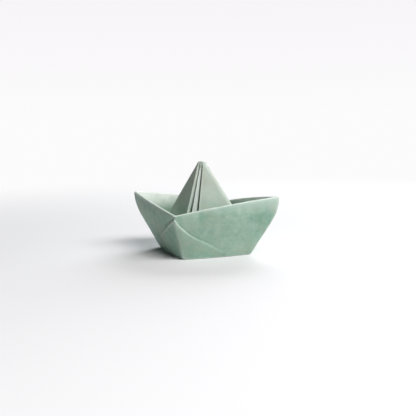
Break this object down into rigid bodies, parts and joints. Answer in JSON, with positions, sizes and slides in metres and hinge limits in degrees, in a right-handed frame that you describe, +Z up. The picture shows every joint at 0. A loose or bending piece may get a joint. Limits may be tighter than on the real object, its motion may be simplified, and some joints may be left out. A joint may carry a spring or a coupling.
{
  "type": "toy boat",
  "caption": "Moulded rubber toy boat shaped like a folded paper boat, with two raised pointed ends, a flat base and a solid pyramid sail with a rib between two slots.",
  "frame": {"origin": "middle of the flat bottom, under the sail", "axes": "+X along the boat from stem to stem, towards the end that is nearer in the picture; +Y across it, away from the picture's viewer; +Z up"},
  "size_m": [0.1396, 0.1026, 0.0783],
  "materials": {
    "rubber_body": "matte mint green with a soft sheen"
  },
  "bodies": {
    "root": {"boat": "rubber_body"}
  },
  "joints": []
}
